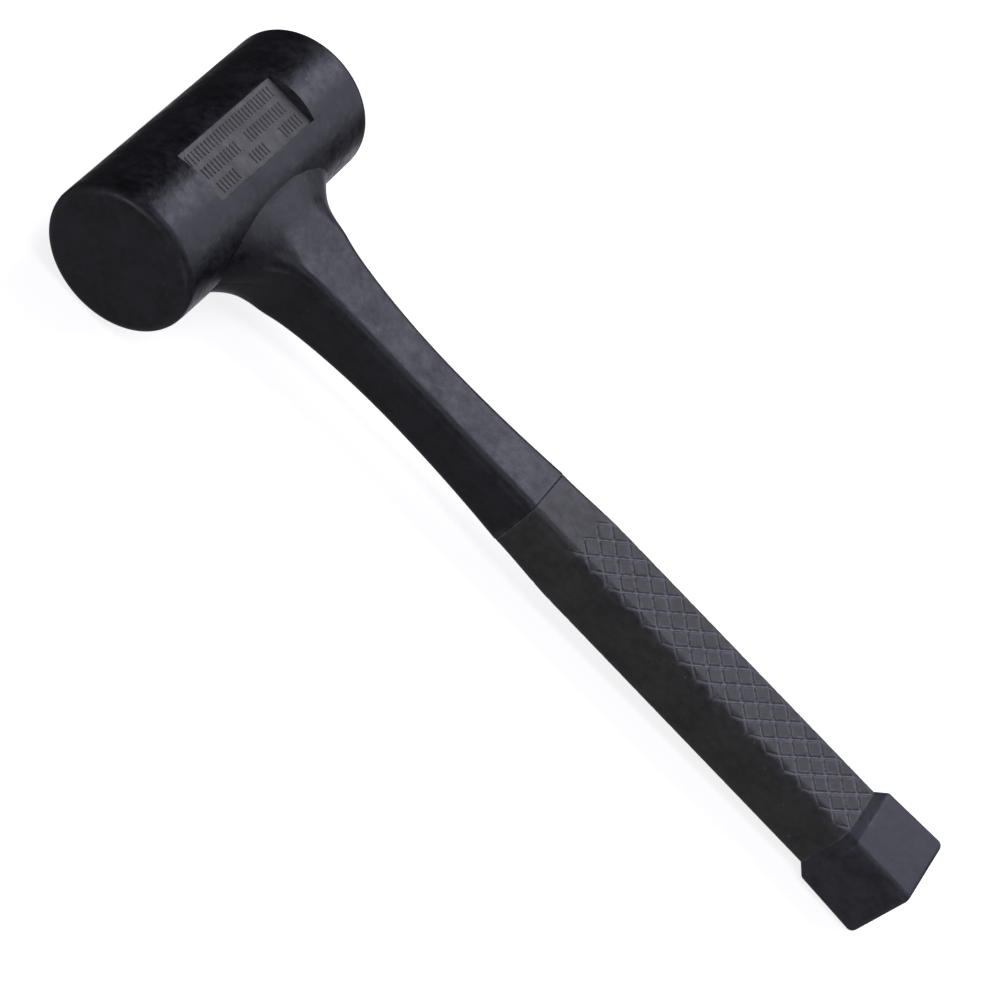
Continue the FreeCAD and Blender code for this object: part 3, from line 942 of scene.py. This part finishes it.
# Bare steel: grey metal with darker patches and fine marks of how it was made.
def steel(look):
    p = steelPatterns
    material, tree, shader = newMaterial(look["name"])
    place = addNode(tree, "ShaderNodeTexCoord").outputs["Object"]
    patch = addNode(tree, "ShaderNodeTexNoise", {"Vector": place, **p["patch"]})
    stretched = addNode(tree, "ShaderNodeMapping", {"Vector": place, "Scale": look["stretch"]})
    marks = addNode(tree, "ShaderNodeTexNoise", {"Vector": stretched.outputs[0], **p["marks"]})
    stain = addNode(tree, "ShaderNodeMapRange", {"Value": patch.outputs["Fac"], **p["stained"]})
    color = addNode(tree, "ShaderNodeMix", {
        0: stain.outputs[0], 6: linearColor(look["color"]), 7: linearColor(look["dark"])},
        data_type="RGBA")
    tree.links.new(color.outputs[2], shader.inputs["Base Color"])
    shader.inputs["Metallic"].default_value = 1.0
    rough = addNode(tree, "ShaderNodeMapRange", {
        "Value": marks.outputs["Fac"], "To Min": look["rough"] - p["smoother"],
        "To Max": look["rough"] + p["rougher"]})
    tree.links.new(rough.outputs[0], shader.inputs["Roughness"])
    bump = addNode(tree, "ShaderNodeBump", {
        "Height": marks.outputs["Fac"], "Strength": look["grain"], "Distance": p["markDepth"]})
    tree.links.new(bump.outputs[0], shader.inputs["Normal"])
    return material


nylonLook = {
    "pale": "d9d4c2", "dark": "c6bfa8", "cloud": {"Scale": 1 / (4.167 * mm), "Detail": 3.0},
    "roughness": {"To Min": 0.38, "To Max": 0.55},
}


# Moulded natural nylon: milky cream, faint sheen.
def nylon(name):
    look = nylonLook
    material, tree, shader = newMaterial(name)
    place = addNode(tree, "ShaderNodeTexCoord").outputs["Object"]
    cloud = addNode(tree, "ShaderNodeTexNoise", {"Vector": place, **look["cloud"]}).outputs["Fac"]
    color = addNode(tree, "ShaderNodeMix", {
        0: cloud, 6: linearColor(look["pale"]), 7: linearColor(look["dark"])}, data_type="RGBA")
    tree.links.new(color.outputs[2], shader.inputs["Base Color"])
    rough = addNode(tree, "ShaderNodeMapRange", {"Value": cloud, **look["roughness"]})
    tree.links.new(rough.outputs[0], shader.inputs["Roughness"])
    return material


finishes = {slotName: steel(look) for slotName, look in steelLooks.items()}
finishes["end_plug_plastic"] = nylon("naturalNylon")
finishes["cast_urethane"] = urethane("castPolyurethane", castUrethane)
finishes["grip_urethane"] = urethane("gripPolyurethane", gripUrethane)
finishes["butt_urethane"] = urethane("buttPolyurethane", buttUrethane)
print("finishes", len(finishes))

# the CAD model's own nodes
slotOf = {part["node"]: part["material_slot"] for part in frame["record"]["subparts"]}
for nodeName, node in frame["nodes"].items():
    node.data.materials.clear()
    node.data.materials.append(finishes[slotOf[nodeName]])

casing = makeHeadCasing()
casing.data.materials.clear()
casing.data.materials.append(finishes["cast_urethane"])
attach(casing, "mallet")
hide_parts("head_casing")

bars = makeLabelBars(finishes["cast_urethane"])
flash = makePartingFlash(finishes["cast_urethane"])
nib = makeVentNib()
nib.data.materials.append(finishes["cast_urethane"])
for trim in (bars, flash, nib):
    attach(trim, "mallet")

charge = makeShotBalls(finishes["shot_steel"])
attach(charge, "shot_charge")
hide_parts("shot")

grip = makeGrip()
grip.data.materials.append(finishes["grip_urethane"])
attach(grip, "mallet")
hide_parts("grip_sleeve")

butt = makeButt()
butt.data.materials.clear()
butt.data.materials.append(finishes["butt_urethane"])
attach(butt, "mallet")
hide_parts("butt_cap")

# studio
studio = {
    "azimuth": 7.47, "elevation": 45.63, "roll": 51.42, "distance": 0.9928,
    "target": (-0.00915, -0.00699, 0.025), "lens": 117.0, "sensor": 36.0,
    "floorSize": 6.0, "floorColor": "f2f2f1", "floorGlow": 0.8,
    "lightColor": "e9e8ff", "roomColor": "f4f4ff", "backdrop": 1.0,
    # room light along an axis, from its dark side to its bright one, and the glow of the table top
    "sky": {"From Min": -0.35, "From Max": 0.45, "To Min": 0.04, "To Max": 0.24},
    "skyAxis": (0.05, -0.85, -0.5),
    "table": {"From Min": 0.86, "From Max": 0.97, "To Max": 0.9}, "tableAxis": (0.1, 0.8, -0.6),
}
softboxes = {
    "keyBox": {"azimuth": -7, "elevation": 48, "distance": 1.4, "size": (0.6, 1.3), "radiance": 3.4},
    "wideBox": {"azimuth": 34, "elevation": 37, "distance": 1.4, "size": (0.9, 1.5), "radiance": 1.45},
    "sideBox": {"azimuth": 78, "elevation": 46, "distance": 1.4, "size": (0.8, 0.7), "radiance": 0.5},
    "topBox": {"azimuth": 178, "elevation": 76, "distance": 1.3, "size": (0.9, 0.35), "radiance": 2.2},
    "leftWindow": {"azimuth": -153, "elevation": 9, "distance": 1.3, "size": (0.6, 0.28), "radiance": 3.4},
    "rightWindow": {"azimuth": 138, "elevation": 8, "distance": 1.3, "size": (0.4, 0.28), "radiance": 2.4},
}


# Pale table top that the head and the butt both rest on, so it leans by about two degrees.
def makeFloor():
    size = studio["floorSize"]
    lean = math.asin(buttLow.z / (buttHigh.x - headX))
    bpy.ops.mesh.primitive_plane_add(size=size)
    floor = bpy.context.object
    floor.name = "tableTop"
    turn = Matrix.Rotation(-lean, 4, "Y")
    below = Matrix.Translation((0, 0, -headRadius))
    floor.matrix_world = Matrix.Translation((headX, 0, axisZ)) @ turn @ below
    material, _, shader = newMaterial("paleTableTop")
    shader.inputs["Base Color"].default_value = linearColor(studio["floorColor"])
    shader.inputs["Roughness"].default_value = 0.9
    shader.inputs["Specular IOR Level"].default_value = 0.0
    shader.inputs["Emission Color"].default_value = (1, 1, 1, 1)
    shader.inputs["Emission Strength"].default_value = studio["floorGlow"]
    floor.data.materials.append(material)
    floor.visible_glossy = False           # the dark mallet mirrors the room, not the bright top
    floor.visible_diffuse = False


# Softbox in a direction given as compass angle from +Y towards +X and height, aimed at the mallet.
def makeSoftbox(name, box):
    a, e = math.radians(box["azimuth"]), math.radians(box["elevation"])
    toward = Vector((math.sin(a) * math.cos(e), math.cos(a) * math.cos(e), math.sin(e)))
    data = bpy.data.lights.new(name, "AREA")
    data.shape = "RECTANGLE"
    data.size, data.size_y = box["size"]
    data.energy = math.pi * data.size * data.size_y * box["radiance"]
    data.color = linearColor(studio["lightColor"])[:3]
    lamp = bpy.data.objects.new(name, data)
    lamp.visible_camera = False
    scene.collection.objects.link(lamp)
    lamp.location = toward * box["distance"]
    lamp.rotation_euler = (-toward).to_track_quat("-Z", "Y").to_euler()


# Room light: dim behind, brighter in front and below, and a white backdrop.
def makeWorld():
    s = studio
    world = bpy.data.worlds.new("studioRoom")
    world.use_nodes = True
    tree = world.node_tree
    tree.nodes.clear()
    direction = addNode(tree, "ShaderNodeTexCoord").outputs["Generated"]
    glow = []
    for key in ("sky", "table"):
        along = addNode(tree, "ShaderNodeVectorMath", {
            0: direction, 1: s[key + "Axis"]}, operation="DOT_PRODUCT")
        glow.append(addNode(tree, "ShaderNodeMapRange", {
            "Value": along.outputs["Value"], **s[key]}, interpolation_type="SMOOTHSTEP").outputs[0])
    total = addNode(tree, "ShaderNodeMath", {0: glow[0], 1: glow[1]}, operation="ADD")
    room = addNode(tree, "ShaderNodeBackground", {
        "Color": linearColor(s["roomColor"]), "Strength": total.outputs[0]})
    backdrop = addNode(tree, "ShaderNodeBackground", {
        "Color": (1, 1, 1, 1), "Strength": s["backdrop"]})
    seen = addNode(tree, "ShaderNodeLightPath").outputs["Is Camera Ray"]
    both = addNode(tree, "ShaderNodeMixShader", {
        0: seen, 1: room.outputs[0], 2: backdrop.outputs[0]})
    addNode(tree, "ShaderNodeOutputWorld", {"Surface": both.outputs[0]})
    scene.world = world


# Looks down at the mallet from in front, rolled so that the handle runs to the lower right.
def makeCamera():
    s = studio
    a, e, roll = (math.radians(s[key]) for key in ("azimuth", "elevation", "roll"))
    forward = Vector((math.sin(a) * math.cos(e), math.cos(a) * math.cos(e), -math.sin(e)))
    level = forward.cross(Vector((0, 0, 1))).normalized()
    lift = level.cross(forward)
    right = level * math.cos(roll) + lift * math.sin(roll)
    up = right.cross(forward)
    turn = Matrix((right, up, -forward)).transposed().to_4x4()
    camera = bpy.data.objects.new("camera", bpy.data.cameras.new("camera"))
    camera.matrix_world = Matrix.Translation(Vector(s["target"]) - forward * s["distance"]) @ turn
    camera.data.lens = s["lens"]
    camera.data.sensor_width = s["sensor"]
    scene.collection.objects.link(camera)
    scene.camera = camera


makeFloor()
for boxName, box in softboxes.items():
    makeSoftbox(boxName, box)
makeCamera()
makeWorld()
scene.view_settings.view_transform = "Standard"
print("studio ready")
